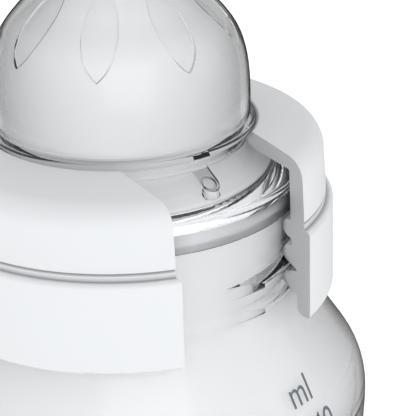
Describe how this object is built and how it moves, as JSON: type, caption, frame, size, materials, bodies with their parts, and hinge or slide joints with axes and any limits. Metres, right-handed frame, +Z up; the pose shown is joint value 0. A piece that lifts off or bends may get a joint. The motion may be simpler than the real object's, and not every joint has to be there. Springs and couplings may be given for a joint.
{
  "type": "feeding bottle",
  "caption": "Wide-neck feeding bottle with a soft silicone teat held by a screw ring; a slot through the ring's front shows the teat's flange and the thread.",
  "frame": {"origin": "middle of the base, on the surface the bottle stands on", "axes": "+Z up along the bottle's axis; the slot cut through the ring faces -Y"},
  "size_m": [0.0772, 0.0772, 0.148],
  "materials": {
    "bottle_wall": "clear glossy blown plastic",
    "ring_plastic": "white moulded plastic, smooth satin gloss",
    "teat_silicone": "clear soft silicone, glossy"
  },
  "bodies": {
    "bottle": {"bottle_body": "bottle_wall"},
    "teat": {"teat": "teat_silicone"},
    "ring": {"screw_ring": "ring_plastic"}
  },
  "joints": [
    {"name": "teat_lift", "type": "slide", "parent": "bottle", "child": "teat", "axis": [0, 0, 1], "range_m": [0, 0.01725]},
    {"name": "ring_turn", "type": "hinge", "parent": "teat", "child": "ring", "pos_m": [0, 0, 0.098], "axis": [0, 0, 1], "range_deg": [0, 720]}
  ],
  "couplings": [
    {"joint": "teat_lift", "follows": "ring_turn", "m_per_rad": 0.0013687}
  ]
}
